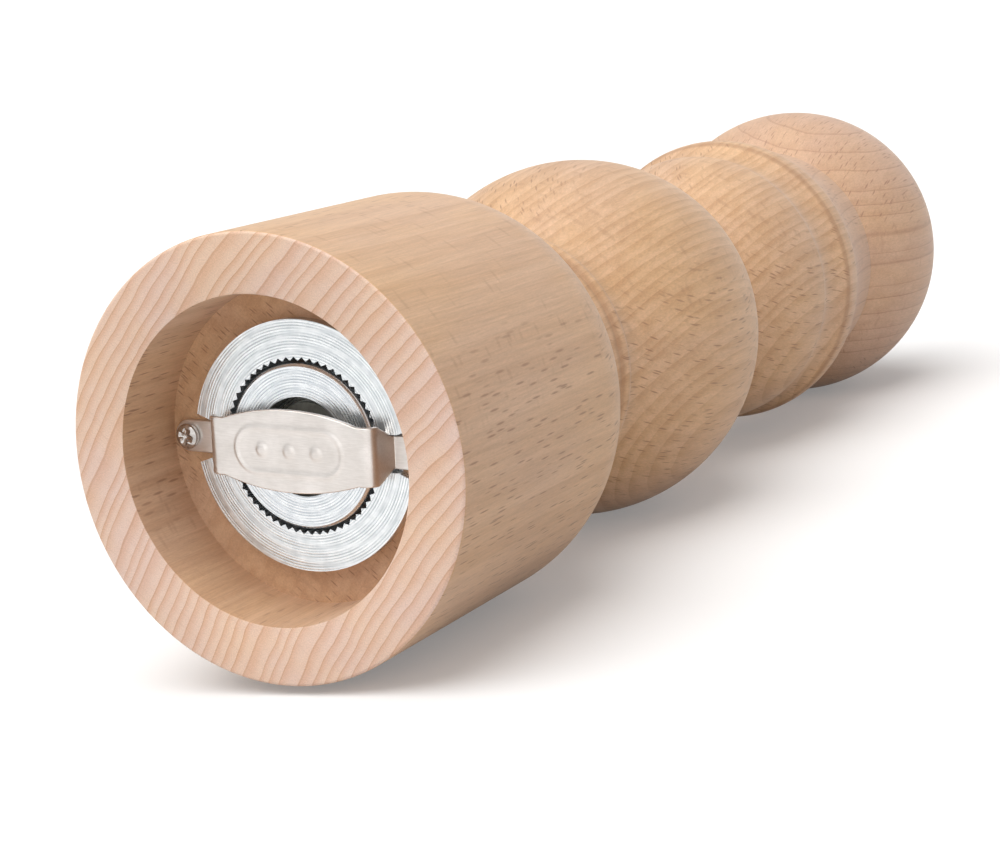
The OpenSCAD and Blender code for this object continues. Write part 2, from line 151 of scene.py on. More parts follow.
class Finish:
    """One material while it is being made. Every node comes from node()."""

    def __init__(self, name, owner=None):
        self.material = owner or bpy.data.materials.new(name)
        self.material.use_nodes = True
        self.tree = self.material.node_tree
        self.tree.nodes.clear()

    def node(self, kind, settings=None, sockets=None, out=0):
        made = self.tree.nodes.new(kind)
        for key, value in (settings or {}).items():
            setattr(made, key, value)
        for key, value in (sockets or {}).items():
            if isinstance(value, Wire):
                self.tree.links.new(value.socket, made.inputs[key])
            else:
                made.inputs[key].default_value = value
        return None if out is None else Wire(self, made.outputs[out])

    def place(self):
        """Where a point is on the piece, in millimetres."""
        at = self.node("ShaderNodeTexCoord", out="Object")
        return self.stretch(at, (1 / MM, 1 / MM, 1 / MM))

    def stretch(self, vector, by):
        return self.node("ShaderNodeVectorMath", {"operation": "MULTIPLY"}, {0: vector, 1: by})

    def move(self, vector, by):
        return self.node("ShaderNodeVectorMath", {"operation": "ADD"}, {0: vector, 1: by})

    def along(self, vector, direction):
        settings = {"operation": "DOT_PRODUCT"}
        return self.node("ShaderNodeVectorMath", settings, {0: vector, 1: direction}, out="Value")

    def off_axis(self, vector):
        flat = self.stretch(vector, (1, 1, 0))
        return self.node("ShaderNodeVectorMath", {"operation": "LENGTH"}, {0: flat}, out="Value")

    def point(self, x, y, z):
        return self.node("ShaderNodeCombineXYZ", {}, {0: x, 1: y, 2: z})

    def noise(self, vector, scale, detail=2.0, rough=0.5):
        sockets = {"Vector": vector, "Scale": scale, "Detail": detail, "Roughness": rough}
        return self.node("ShaderNodeTexNoise", {}, sockets)

    def mix(self, factor, first, second, blend="MIX"):
        """Two colours mixed. A plain colour is given as three numbers."""
        first = first if isinstance(first, Wire) else (*first, 1)
        second = second if isinstance(second, Wire) else (*second, 1)
        settings = {"data_type": "RGBA", "blend_type": blend}
        return self.node("ShaderNodeMix", settings, {0: factor, 6: first, 7: second}, out=2)

    def bump(self, height, strength, distance):
        sockets = {"Height": height, "Strength": strength, "Distance": distance * MM}
        return self.node("ShaderNodeBump", {}, sockets, out="Normal")

    def done(self, sockets):
        surface = self.node("ShaderNodeBsdfPrincipled", {}, sockets)
        self.output(surface)
        print("finish", self.material.name, "has", len(self.tree.nodes), "nodes")
        return self.material

    def output(self, surface):
        self.node("ShaderNodeOutputMaterial", {}, {"Surface": surface}, out=None)


# %% [markdown]
# The mill lies on a white table in the studio, while the model stands upright. So the table is a
# sheet along the mill's side, and it is seen only from the mill's side of it: from behind it lets
# the eye through. It leans a little, so the wood at rest goes up to 0.44 mm past it, and a head
# that is lifted off goes 1.4 mm past it. A second sheet under the base is what the upright mill
# stands on. It is seen only from above and casts nothing, so it doesn't shade the base. A white
# box of walls would do too, but sheets leave every side open for the camera.

# %% Two white sheets
table_normal = Vector((0.118, 0.993, 0.012)).normalized()
table_up = -table_normal
table_gap = 30.05 * MM
sheet_size = 3.0


def square_mesh(name, centre, normal, size):
    """A flat square whose face looks along normal."""
    side = normal.orthogonal().normalized()
    across = normal.cross(side)
    corners = [(-1, -1), (1, -1), (1, 1), (-1, 1)]
    points = [centre + side * size * a + across * size * b for a, b in corners]
    mesh = bpy.data.meshes.new(name)
    mesh.from_pydata(points, [], [(0, 1, 2, 3)])
    if mesh.polygons[0].normal.dot(normal) < 0:
        mesh.flip_normals()
    return mesh


def sheet_finish(name, white, glow):
    """White for the eye, dimmer for the light that bounces off it, clear from behind."""
    finish = Finish(name)
    speckle = finish.noise(finish.place(), 0.05, 2.0)
    full = (white, white, white)
    shade = finish.mix(speckle, (white * 0.99, white * 0.985, white * 0.985), full)
    paper = finish.node("ShaderNodeBsdfDiffuse", {}, {"Color": shade})
    # less light comes back up from it than the eye would guess, as from a small table
    dim_white = (white * 0.68, white * 0.66, white * 0.65, 1)
    dim = finish.node("ShaderNodeBsdfDiffuse", {}, {"Color": dim_white})
    bounced = finish.node("ShaderNodeLightPath", out="Is Diffuse Ray")
    paper = finish.node("ShaderNodeMixShader", {}, {0: bounced, 1: paper, 2: dim})
    card_sockets = {"Color": (1, 0.98, 0.97, 1), "Strength": 1.1}
    card = finish.node("ShaderNodeEmission", {}, card_sockets)
    seen = finish.node("ShaderNodeLightPath", out="Is Camera Ray")
    paper = finish.node("ShaderNodeMixShader", {}, {0: seen * glow, 1: paper, 2: card})
    clear = finish.node("ShaderNodeBsdfTransparent")
    back = finish.node("ShaderNodeNewGeometry", out="Backfacing")
    finish.output(finish.node("ShaderNodeMixShader", {}, {0: back, 1: paper, 2: clear}))
    return finish.material


def white_sheet(name, centre, normal, white, glow):
    """A flat white sheet that is seen only from the side its normal points to."""
    mesh = square_mesh(name, centre, normal, sheet_size)
    mesh.materials.append(sheet_finish(name + "_white", white, glow))
    sheet = bpy.data.objects.new(name, mesh)
    scene.collection.objects.link(sheet)
    return sheet


mill_middle = Vector((0, 0, 0.1))
white_sheet("table", table_normal * table_gap + mill_middle, table_up, 0.93, 0.2)
stand = white_sheet("stand", Vector((0, 0, -0.0002)), Vector((0, 0, 1)), 0.9, 0.7)
for way in ("visible_diffuse", "visible_glossy", "visible_transmission", "visible_shadow"):
    setattr(stand, way, False)
print("table plane is", round(table_gap / MM, 2), "mm from the foot of the axis")

# %% [markdown]
# The room gives light from all round. One even colour could be its whole world, but then either
# the white is grey or the shadows are pale. So the eye sees it as pure white, shiny pieces mirror
# a bright one, and the rest of the light comes from a dimmer one, which keeps the shadows deep.

# %% White room
scene.view_settings.view_transform = "Standard"
scene.world = bpy.data.worlds.new("white_room")
room = Finish("white_room", scene.world)
dim_sockets = {"Color": (0.96, 0.98, 1.0, 1), "Strength": 0.31}
dim_room = room.node("ShaderNodeBackground", {}, dim_sockets)
white_wall = room.node("ShaderNodeBackground", {}, {"Color": (1, 1, 1, 1), "Strength": 1.05})
eye = room.node("ShaderNodeLightPath", out="Is Camera Ray")
mirrored = room.node("ShaderNodeLightPath", out="Is Glossy Ray")
how_white = eye + mirrored * 0.75
seen_room = room.node("ShaderNodeMixShader", {}, {0: how_white, 1: dim_room, 2: white_wall})
room.node("ShaderNodeOutputWorld", {}, {"Surface": seen_room}, out=None)
print("room has", len(room.tree.nodes), "nodes")

# %% [markdown]
# A wide soft lamp above the table gives the mill its form and its shadow. A weak one in front of
# the base lights the grinder, which sits deep in its recess. Area lamps would fall off along the
# mill, so both are far away, and a wide angle makes them soft. The front one casts no shadow.

# %% Lamps
def soft_lamp(name, direction, spread, strength, warmth):
    """A lamp far away, as wide as spread degrees, so the whole table gets the same light."""
    light = bpy.data.lights.new(name, "SUN")
    light.angle = math.radians(spread)
    light.energy = strength
    light.color = warmth
    made = bpy.data.objects.new(name, light)
    scene.collection.objects.link(made)
    made.location = direction.normalized()
    made.rotation_euler = direction.to_track_quat("Z", "Y").to_euler()
    print("lamp", name, "strength", strength)
    return made


key_way = table_up * 0.88 + Vector((-0.12, 0, -0.27))
soft_lamp("key_softbox", key_way, 70, 3.1, (1.0, 0.985, 0.97))
front_way = Vector((0.3, -0.3, -1.0))
front = soft_lamp("front_card", front_way, 60, 0.55, (1.0, 0.99, 0.98))
front.data.use_shadow = False

# %% [markdown]
# The body is a row of bulges with sharp corners between them, where the turner changed the tool.
# Its heights could be typed in one by one, but they are counted down from the lip instead, so
# they stay with the measured model. The wood needs them too: at its sharp corners it gets painted
# shade.

# %% Heights along the body
base_r = reach_of("body")
body_high = height_of("body")[1]
lip_slope = 4.6
lip_z = body_high - lip_slope
bell_z = lip_z - 10.7
ball_z = bell_z - 51.3
bead_z = ball_z - 26.1
shoulder_z = bead_z - 13.5
bead_half = 1.25
groove_drop = 2.0
# heights of the tool's sharp corners, where the wood gets painted shade
painted_shade_heights = (lip_z - groove_drop, bead_z - bead_half, bead_z + bead_half)
print("lip", round(lip_z, 2), "bell", round(bell_z, 2), "ball", round(ball_z, 2), "mm up")

# %% [markdown]
# Beech has three things to show. Its growth rings are shells round the heart of the tree, seen
# as stripes on the end grain and as long lines along the side. Its rays are thin plates that run
# out from the heart: short dark dashes where they are cut across, blotches where they are cut
# along. Its pores are fine specks. A picture of wood would need a picture for every cut, so the
# wood is solid here: each finish asks only where a point is in the log, and every cut comes right.

# %% Noise that runs with the trunk
def grain(f, at, across, along, detail, rough=0.5):
    """Noise stretched along the trunk: across and along are its changes per millimetre."""
    return f.noise(f.stretch(at, (across, across, along)), 1.0, detail, rough)


def cell_distance(f, place):
    """How far a point is from the middle of its cell."""
    sockets = {"Vector": place, "Scale": 1.0}
    return f.node("ShaderNodeTexVoronoi", {}, sockets, out="Distance")


def cell_number(f, place):
    """A number from 0 to 1 that is the same all over a cell."""
    sockets = {"Vector": place, "Scale": 1.0}
    return f.along(f.node("ShaderNodeTexVoronoi", {}, sockets, out="Color"), (1, 0, 0))


# %% Growth rings
def place_in_log(f, at, heart_angle):
    """How far a point lies towards the heart, across from it, and up the trunk."""
    angle = math.radians(heart_angle)
    toward = f.along(at, (math.cos(angle), math.sin(angle), 0))
    across = f.along(at, (-math.sin(angle), math.cos(angle), 0))
    return toward, across, f.along(at, (0, 0, 1))


def growth_rings(f, at, place, heart_far, ring_width, tilt):
    """The soft stripe and the thin late line of each year's ring."""
    toward, across, height = place
    # distance from the heart, with a slow lean of the log and a little sway
    bend = across * across / (2.0 * heart_far)
    sway = grain(f, at, 0.05, 0.012, 2.0)
    ripple = grain(f, at, 0.32, 0.05, 1.0)
    from_heart = heart_far - toward + bend + height * tilt + sway * 2.6 + ripple * 0.3
    # rings of uneven width and strength
    uneven = f.noise(f.point(from_heart * 0.16, 0.0, 0.0), 1.0, 1.0)
    ring = (from_heart / ring_width + uneven * 2.2).fraction()
    strength = f.noise(f.point(from_heart * 0.35, height * 0.01, 7.0), 1.0, 1.0)
    stripe = ring.fade(0.25, 0.93) * (0.45 + strength * 0.5)
    line = ring.fade(0.86, 0.95) * (1 - ring.fade(0.965, 1.0)) * (0.25 + strength)
    return stripe, line


# %% Rays
def ray_marks(f, at, place):
    """Dashes where rays are cut across, blotches where they are cut along, and small ones."""
    toward, across, height = place
    wander = grain(f, at, 0.09, 0.006, 2.0)
    # one thin plate in each cell, and only some cells keep theirs
    facing = abs(toward) / f.off_axis(at)
    cell = f.point(across * 2.5 + wander * 2.0, height * 0.21, toward * 0.4)
    kept = cell_number(f, cell) > 0.3
    dash = (1 - cell_distance(f, cell).fade(0.12, 0.34)) * kept * facing.fade(0.2, 0.7)
    broad = f.point(across * 0.6 + wander * 3.0, height * 0.8 + wander * 2.0, toward * 0.16)
    chosen = cell_number(f, broad) > 0.55
    blotch = (1 - cell_distance(f, broad).fade(0.1, 0.42)) * chosen
    blotch = blotch * (1 - facing.fade(0.5, 0.85))
    small = f.point(across * 3.2 + wander * 3.0, height * 0.5, toward * 0.16)
    small_dash = 1 - cell_distance(f, small).fade(0.12, 0.38)
    side_marks = (dash * 0.7 + small_dash * facing * 0.1 + blotch * 0.2).at_most(0.8)
    return side_marks, small_dash * 0.10


# %% Solid beech
quiet_below = (50, 64)
painted_shade_reach = (0.15, 0.8)


def beech(name, log, colours, depths, end_grain=False, cuts=()):
    """Beech cut from a log. Depths say how strong its rings, their lines and its bands are."""
    heart_angle, heart_far, ring_width, tilt = log
    light, tan, dark = colours
    ring_depth, line_depth, band_depth = depths
    f = Finish(name)
    at = f.place()
    place = place_in_log(f, at, heart_angle)
    height = place[2]
    stripe, line = growth_rings(f, at, place, heart_far, ring_width, tilt)
    side_marks, end_marks = ray_marks(f, at, place)
    # soft bands a few millimetres wide, fibres, pores, and a blush that warms the colour
    band = grain(f, at, 0.42, 0.016, 2.0, 0.6).fade(0.36, 0.64)
    fibre = grain(f, at, 3.4, 0.16, 3.0, 0.65)
    pores = grain(f, at, 5.5, 1.6, 2.0, 0.7)
    blush = grain(f, at, 0.045, 0.016, 3.0, 0.6)
    if end_grain:
        marks = end_marks
        tone = 0.70 + pores * 0.6
    else:
        # the rings hardly show on the straight base, which is cut along them
        stripe = stripe * (0.3 + height.fade(*quiet_below) * 0.7)
        marks = side_marks
        tone = (0.86 + pores * 0.28) * (0.76 + fibre * 0.48)
    ground = f.mix((stripe * ring_depth + band * band_depth).at_most(1.0), light, tan)
    ground = f.mix(line * line_depth, ground, dark)
    warm = f.mix(blush.fade(0.35, 0.7), (1.02, 0.975, 0.87), (0.98, 0.965, 0.99))
    ground = f.mix(1.0, ground, warm, "MULTIPLY")
    ground = f.mix(1.0, ground, f.point(tone, tone, tone), "MULTIPLY")
    ground = f.mix(marks, ground, dark)
    # painted shade: the wood is made a little darker at the tool's sharp corners, as the grooves
    # fall in shade
    for cut in cuts:
        painted_corner_shade = 1 - abs(height - cut).fade(*painted_shade_reach)
        ground = f.mix(painted_corner_shade * 0.4, ground, dark)
    relief = fibre * 0.5 + pores * 0.5 - marks * 0.8
    return f.done({
        "Base Color": ground,
        "Roughness": 0.46 + pores * 0.16,
        "Normal": f.bump(relief, 0.35, 0.05),
        "IOR": 1.45,
        "Sheen Weight": 0.2,
        "Sheen Roughness": 0.5,
    })


# %% [markdown]
# Body and head come from two logs. The body needs three finishes of one log: its turned side,
# its end grain, which drinks the finish and looks redder and paler, and the bored recess, whose
# wood is darkened with painted shade. One finish could pick by direction, but separate slots stay
# plain.

# %% The four cuts of beech
body_log = (36, 160, 1.75, 0.012)
head_log = (-80, 150, 3.0, 0.0)
side_beech = beech(
    "beech_side", body_log,
    ((0.65, 0.43, 0.27), (0.50, 0.295, 0.16), (0.27, 0.13, 0.065)),
    (0.6, 0.06, 0.4), cuts=painted_shade_heights)
end_beech = beech(
    "beech_end_grain", body_log,
    ((0.74, 0.56, 0.465), (0.65, 0.405, 0.285), (0.44, 0.225, 0.135)),
    (1.0, 0.42, 0.12), end_grain=True)
# the recess: the side's wood made darker, as painted shade
bored_beech_painted_shade = beech(
    "beech_bored_painted_shade", body_log,
    ((0.57, 0.365, 0.23), (0.43, 0.245, 0.135), (0.22, 0.105, 0.055)),
    (0.5, 0.06, 0.4))
head_beech = beech(
    "beech_head", head_log,
    ((0.60, 0.395, 0.27), (0.50, 0.305, 0.195), (0.32, 0.16, 0.10)),
    (0.3, 0.5, 0.4))

# %% [markdown]
# The body and the head came off a lathe, so they are made the same way: an outline swept round
# the axis. A screw modifier would do it too, but writing the rings of points keeps the outline's
# corners crisp where the tool left an edge, and smooth where it ran on.

# %% Outlines
def on_oval(shape, angle, inset=0.0):
    """The point of an ellipse at an angle. Its shape is (radius, half height, middle)."""
    radius, half, middle = shape
    a = math.radians(angle)
    return inset + radius * math.cos(a), middle + half * math.sin(a)


def oval(shape, start, end, inset=0.0, steps=40):
    """Points on part of an ellipse about the axis, from angle start to angle end."""
    return [on_oval(shape, start + (end - start) * i / steps, inset) for i in range(steps + 1)]


def swell(start, end, rise, steps=24):
    """A shallow curve between two points that bulges by rise, with both ends left out."""
    points = []
    for i in range(1, steps):
        t = i / steps
        bulge = 4 * rise * t * (1 - t)
        radius = start[0] + (end[0] - start[0]) * t + bulge
        points.append((radius, start[1] + (end[1] - start[1]) * t))
    return points


# %% A lathe
crisp_angle = 28


def ring_of_points(work, radius, height, around):
    """One turn of the outline: a circle of points, or one point on the axis."""
    if radius < 1e-6:
        return [work.verts.new((0, 0, height * MM))]
    ring = []
    for i in range(around):
        a = 2 * math.pi * i / around
        x = radius * MM * math.cos(a)
        y = radius * MM * math.sin(a)
        ring.append(work.verts.new((x, y, height * MM)))
    return ring


def finish_mesh(name, work, crisp):
    """Turns a worked shape into an object, smooth but for edges sharper than crisp degrees."""
    bmesh.ops.recalc_face_normals(work, faces=work.faces)
    for edge in work.edges:
        if len(edge.link_faces) == 2 and edge.calc_face_angle(0) > math.radians(crisp):
            edge.smooth = False
    for face in work.faces:
        face.smooth = True
    mesh = bpy.data.meshes.new(name)
    work.to_mesh(mesh)
    work.free()
    made = bpy.data.objects.new(name, mesh)
    scene.collection.objects.link(made)
    print(name, "has", len(mesh.polygons), "faces")
    return made


def turned(name, outline, around=144, closed=True):
    """Sweeps an outline of (radius, height) points round the axis into a mesh object."""
    work = bmesh.new()
    rings = [ring_of_points(work, radius, height, around) for radius, height in outline]
    pairs = list(zip(rings, rings[1:]))
    if closed:
        pairs.append((rings[-1], rings[0]))
    for low, high in pairs:
        for i in range(around):
            j = (i + 1) % around
            corners = [low[i % len(low)], low[j % len(low)]]
            corners += [high[j % len(high)], high[i % len(high)]]
            corners = list(dict.fromkeys(corners))
            if len(corners) > 2:
                work.faces.new(corners)
    return finish_mesh(name, work, crisp_angle)


# %% [markdown]
# The outline runs from the base up the outside, over the seat of the head, and back down the
# inside: the socket, the hopper for the corns, the bore of the grinder's barrel and the recess
# in the base. Turning the outside alone would be less work, but the inside shows when the head
# is off, and a wall with both faces keeps the light out of the wood.

# %% Bulges and bores of the body
shoulder_angle = 62
shoulder_r, shoulder_half = 11, 14.5
straight_z = shoulder_z - shoulder_half * math.sin(math.radians(shoulder_angle))
shoulder = (shoulder_r, shoulder_half, straight_z)
ball = (29, 32.6, ball_z)
bell = (24.4, 23.2, bell_z)
ring_low, ring_high = height_of("stator_ring")
recess_depth = ring_low + 1.6
recess_r = reach_of("bracket") + 0.75
barrel_bore = reach_of("stator_bridge") + 0.05
barrel_top = ring_high + 1
socket_r, socket_floor = 16.1, 146.4
hopper_r = 12.0
print("recess", round(recess_depth, 2), "mm deep, radius", round(recess_r, 2), "mm")

# %% Outline of the body
cove_start = on_oval(shoulder, shoulder_angle, base_r - shoulder_r)
bead_foot = (20.5, bead_z - bead_half)
bead_head = (20.7, bead_z + bead_half)
ball_foot = on_oval(ball, -43)
ball_top = on_oval(ball, 50)
bell_foot = on_oval(bell, -45)
groove_top = (25.9, lip_z - groove_drop)
lip_edge = (26.2, lip_z)
body_edge = (25.1, body_high)
foot_edge = 0.5
outside = (
    oval((foot_edge, foot_edge, foot_edge), -90, 0, base_r - foot_edge, 8)
    + [(base_r, height) for height in (8.0, 16.0, 24.0, 32.0)]
    + oval(shoulder, 0, shoulder_angle, base_r - shoulder_r)
    + swell(cove_start, bead_foot, -1.9)
    + [bead_foot]
    + swell(bead_foot, bead_head, 0.7, 12)
    + [bead_head]
    + swell(bead_head, ball_foot, -0.25, 8)
    + oval(ball, -43, 50)
    + swell(ball_top, bell_foot, -1.0)
    + oval(bell, -45, 0)
    + swell((bell[0], bell_z), groove_top, -1.2)
    + [groove_top]
    + swell(groove_top, lip_edge, 0.1, 6)
    + [lip_edge]
    + swell(lip_edge, body_edge, 0.35, 8)
    + [body_edge])
inside = [
    (socket_r, body_high), (socket_r, socket_floor), (hopper_r, socket_floor),
    (hopper_r, barrel_top), (barrel_bore, barrel_top), (barrel_bore, recess_depth),
    (recess_r, recess_depth), (recess_r, 0.35), (recess_r + 0.1, 0.1), (recess_r + 0.35, 0.0)]
print("body outline has", len(outside) + len(inside), "points")

# %% The turned body
end_slot, painted_shade_slot = 1, 2
cut_reach = 0.2
body = turned("turned_body", outside + inside)
for finish in (side_beech, end_beech, bored_beech_painted_shade):
    body.data.materials.append(finish)
for face in body.data.polygons:
    deep = face.center.z < (recess_depth + cut_reach) * MM
    within = face.center.xy.length < (recess_r + cut_reach) * MM
    if abs(face.normal.z) > 0.6 and face.center.z < 0.5 * MM:
        face.material_index = end_slot
    # the recess wall and floor get the darker finish with the painted shade
    elif deep and within:
        face.material_index = painted_shade_slot
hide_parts("body")
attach(body, "base")

# %% [markdown]
# The head is a ball on a short collar, with a tenon that fits the socket of the body. It could
# share the body's outline, but it is a piece of its own that lifts off, with wider rings that
# run another way, because it was cut from another blank.

# %% The turned head
head_low, head_high = height_of("head")
seat_z = head_low + 10.0
head_z = seat_z + 33.8
head_ball = (28.1, 27.9, head_z)
top_angle = math.degrees(math.asin((head_high - head_z) / head_ball[1]))
shaft_hole = 3.84
tenon_r = 15.8
collar = (24.6, seat_z + 0.25)
head_outline = (
    [(shaft_hole, head_low), (15.5, head_low), (tenon_r, head_low + 0.3), (tenon_r, seat_z)]
    + [(24.3, seat_z), collar]
    + swell(collar, on_oval(head_ball, -38), -0.6)
    + oval(head_ball, -38, top_angle, 0.0, 72)
    + [(shaft_hole, head_high)])
head = turned("turned_head", head_outline)
head.data.materials.append(head_beech)
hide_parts("head")
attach(head, "head")

# %% [markdown]
# The grinder's ring and rotor are steel, faced on a lathe and then zinc plated. The tool leaves a
# fine spiral, which catches the light as rings. A texture of circles would do, but two sets of
# circles with slightly different middles also give the shimmer that crossed tool marks have.

# %% Turned zinc
def turned_zinc(name, colour, dark, rough, recess=0.0):
    """Faced and plated steel. Inside the radius of its recess it is darker."""
    f = Finish(name)
    at = f.place()
    wobble = f.noise(f.stretch(at, (0.35, 0.35, 0.35)), 1.0, 2.0)
    first = f.off_axis(f.move(at, (0.22, 0.1, 0)))
    second = f.off_axis(f.move(at, (-0.3, 0.26, 0)))
    fine = ((first * 15.0 + wobble * 2.0).sine() + (second * 17.5).sine()) * 0.25 + 0.5
    broad = (f.off_axis(at) * 5.2 + wobble * 3.0).sine() * 0.5 + 0.5
    cloud = f.noise(f.stretch(at, (0.6, 0.6, 0.6)), 1.0, 3.0)
    shade = (fine * 0.55 + broad * 0.15 + cloud * 0.5).fade(0.25, 1.0)
    metal = f.mix(shade, dark, colour)
    if recess > 0:
        inside = 1 - f.off_axis(at).fade(recess - 0.1, recess + 0.1)
        metal = f.mix(inside * 0.8, metal, (0.16, 0.16, 0.13))
    return f.done({
        "Base Color": metal,
        "Metallic": 1.0 - cloud * 0.12,
        "Roughness": rough + fine * 0.12,
        "Normal": f.bump(fine * 0.6 + broad * 0.4, 0.8, 0.03),
    })


washer_recess_r = 6.75
ring_zinc = turned_zinc("zinc_ring", (0.96, 0.985, 1.0), (0.52, 0.56, 0.585), 0.24)
rotor_zinc = turned_zinc(
    "zinc_rotor", (0.96, 0.985, 1.0), (0.52, 0.56, 0.60), 0.22,
    washer_recess_r)

# %% [markdown]
# The bracket is a pressed strip of nickel plated steel: rolled flat, so it has fine scratches
# along its length, then tumbled, so it is satin with brighter edges. The other small metal pieces
# differ from it in colour, in how smooth they are and in the run of their scratches.

# %% Rolled and pressed metals
def rolled_metal(name, colour, dark, rough, scratch, depth=0.02):
    """Metal with scratches that are short along X, Y or Z where scratch is large."""
    f = Finish(name)
    at = f.place()
    scratches = f.noise(f.stretch(at, scratch), 1.0, 3.0, 0.7)
    cloud = f.noise(f.stretch(at, (0.25, 0.25, 0.25)), 1.0, 3.0)
    dimple = f.noise(f.stretch(at, (2.2, 2.2, 2.2)), 1.0, 2.0)
    shade = (scratches * 0.5 + cloud * 0.6).fade(0.3, 0.8)
    return f.done({
        "Base Color": f.mix(shade, dark, colour),
        "Metallic": 1.0 - dimple * 0.1,
        "Roughness": rough + scratches * 0.14,
        "Normal": f.bump(scratches * 0.5 + dimple * 0.5, 0.3, depth),
    })


satin_nickel = rolled_metal(
    "satin_nickel", (0.80, 0.76, 0.73), (0.62, 0.58, 0.545), 0.27, (0.5, 5.0, 5.0))
bright_screw = rolled_metal(
    "bright_screw_steel", (0.62, 0.60, 0.58), (0.36, 0.33, 0.31), 0.10, (2.0, 2.0, 2.0), 0.03)
pressed_zinc = rolled_metal(
    "pressed_zinc", (0.74, 0.76, 0.77), (0.52, 0.54, 0.55), 0.34, (0.8, 4.0, 4.0))
dark_washer = rolled_metal(
    "dark_washer_steel", (0.42, 0.42, 0.38), (0.25, 0.25, 0.22), 0.30, (1.5, 1.5, 4.0))
drawn_alloy = rolled_metal(
    "drawn_shaft_alloy", (0.80, 0.80, 0.80), (0.62, 0.62, 0.63), 0.30, (5.0, 5.0, 0.12))
spring_wire = rolled_metal(
    "spring_wire_steel", (0.60, 0.59, 0.57), (0.40, 0.39, 0.38), 0.25, (3.0, 3.0, 3.0))
knob_metal = rolled_metal(
    "brushed_knob_metal", (0.70, 0.69, 0.67), (0.48, 0.47, 0.45), 0.24, (0.6, 0.6, 7.0))


def give(node, finish):
    """Puts one finish in every material slot of a frame node."""
    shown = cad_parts[node]
    if not shown.data.materials:
        shown.data.materials.append(finish)
    for slot in shown.material_slots:
        slot.material = finish


give("stator_ring", ring_zinc)
give("rotor", rotor_zinc)
give("rotor_washer", dark_washer)
give("drive_shaft", drawn_alloy)
give("grind_spring", spring_wire)
for node in ("stator_bridge", "spring_seat", "drive_plate"):
    give(node, pressed_zinc)
for node in ("knob_washer", "adjusting_knob"):
    give(node, knob_metal)

# %% [markdown]
# The bracket is one strip, bent twice at each end. It could be cut from boxes, but a press bends
# metal in curves and rolls its edges over, so it is lofted: rounded strips of section are placed
# along the line that the strip follows. A shallow raised panel with three round seeds in it is
# pressed into its face, a plain decoration of this mill's own.

# %% Sizes of the bracket
bracket_low, bracket_high = height_of("bracket")
strip_t = 0.8
plate_half = 13.0
leg_lean = 0.6
leg_foot = plate_half + leg_lean
end_width = 7.9
middle_width = 11.2
screw_x = 18.9
foot_r = 2.25
plate_z = bracket_low + strip_t / 2
foot_z = bracket_high - strip_t / 2
print("plate at", round(plate_z, 2), "feet at", round(foot_z, 2), "mm")


# %% The pressed decoration
panel_half, panel_r = 5.2, 3.0
rim_width, rim_rise = 0.34, 0.16
seed_r, seed_rise = 0.85, 0.24
seed_places = (-4.2, 0.0, 4.2)


def raised(x, y):
    """Height of the pressed decoration over the plate, in millimetres."""
    edge = math.hypot(max(abs(x) - panel_half, 0.0), y)
    rim = math.exp(-(((edge - panel_r) / rim_width) ** 2))
    seeds = max(math.exp(-(((x - at) ** 2 + y * y) / seed_r ** 2) ** 2) for at in seed_places)
    return rim_rise * rim + seed_rise * seeds


# %% The line of the strip
under_bend, foot_bend = 1.25, 0.6
plate_step = 0.14
foot_steps = 26


def bend(middle, radius, start, end, steps=8):
    """Points round a bend, from one angle to another."""
    angles = [math.radians(start + (end - start) * i / steps) for i in range(steps + 1)]
    return [(middle[0] + radius * math.cos(a), middle[1] + radius * math.sin(a)) for a in angles]


def strip_line():
    """Half of the line that the middle of the strip follows, from the centre out: (x, z)."""
    lean = math.degrees(math.atan2(leg_lean, foot_z - plate_z))
    flat_steps = int((plate_half - 0.45 - under_bend) / plate_step)
    points = [(plate_step * i, plate_z) for i in range(flat_steps)]
    under = (plate_half - strip_t / 2 - under_bend, plate_z + under_bend)
    points += bend(under, under_bend, -90, -lean)
    top_x = leg_foot - strip_t / 2 + foot_bend * math.cos(math.radians(lean))
    points += bend((top_x, foot_z - foot_bend), foot_bend, 180 - lean, 90)
    x = points[-1][0]
    last = screw_x + foot_r - 0.01
    points += [(x + (last - x) * i / foot_steps, foot_z) for i in range(1, foot_steps + 1)]
    return points


def half_width(x, z):
    """Half of the strip's width where it passes (x, z)."""
    flat = plate_half - 2.6
    rise = (middle_width - end_width) / 2
    arch = (flat * flat + rise * rise) / (2 * rise)
    if z > ring_low - 0.3:
        over = x - screw_x
        return math.sqrt(max(foot_r ** 2 - over ** 2, 0.02)) if over > 0 else foot_r
    if x < flat:
        return middle_width / 2 - arch + math.sqrt(arch * arch - x * x)
    return end_width / 2


# %% Lofting the strip
strip_corner = 0.2
strip_across = 44


def strip_section(width):
    """The rounded section of the strip, as points (across, outwards)."""
    flat = width - strip_corner
    face = strip_t / 2
    high = face - strip_corner
    low = -face + strip_corner
    steps = range(strip_across + 1)
    section = [(-flat + 2 * flat * i / strip_across, face) for i in steps]
    section += bend((flat, high), strip_corner, 60, 0, 2)
    section += bend((flat, low), strip_corner, 0, -60, 2)
    section += [(flat - 2 * flat * i / strip_across, -face) for i in steps]
    section += bend((-flat, low), strip_corner, -120, -180, 2)
    section += bend((-flat, high), strip_corner, 180, 120, 2)
    return section


def station(work, line, i):
    """The ring of points where the strip passes point i of its line."""
    x, z = line[i]
    before, after = line[max(i - 1, 0)], line[min(i + 1, len(line) - 1)]
    along = Vector((after[0] - before[0], after[1] - before[1])).normalized()
    outward = (along[1], -along[0])
    ring = []
    for y, lift in strip_section(half_width(abs(x), z)):
        if lift == strip_t / 2 and abs(x) < plate_half - 3:
            lift += raised(x, y)
        at = (x + outward[0] * lift, y, z + outward[1] * lift)
        ring.append(work.verts.new([value * MM for value in at]))
    return ring


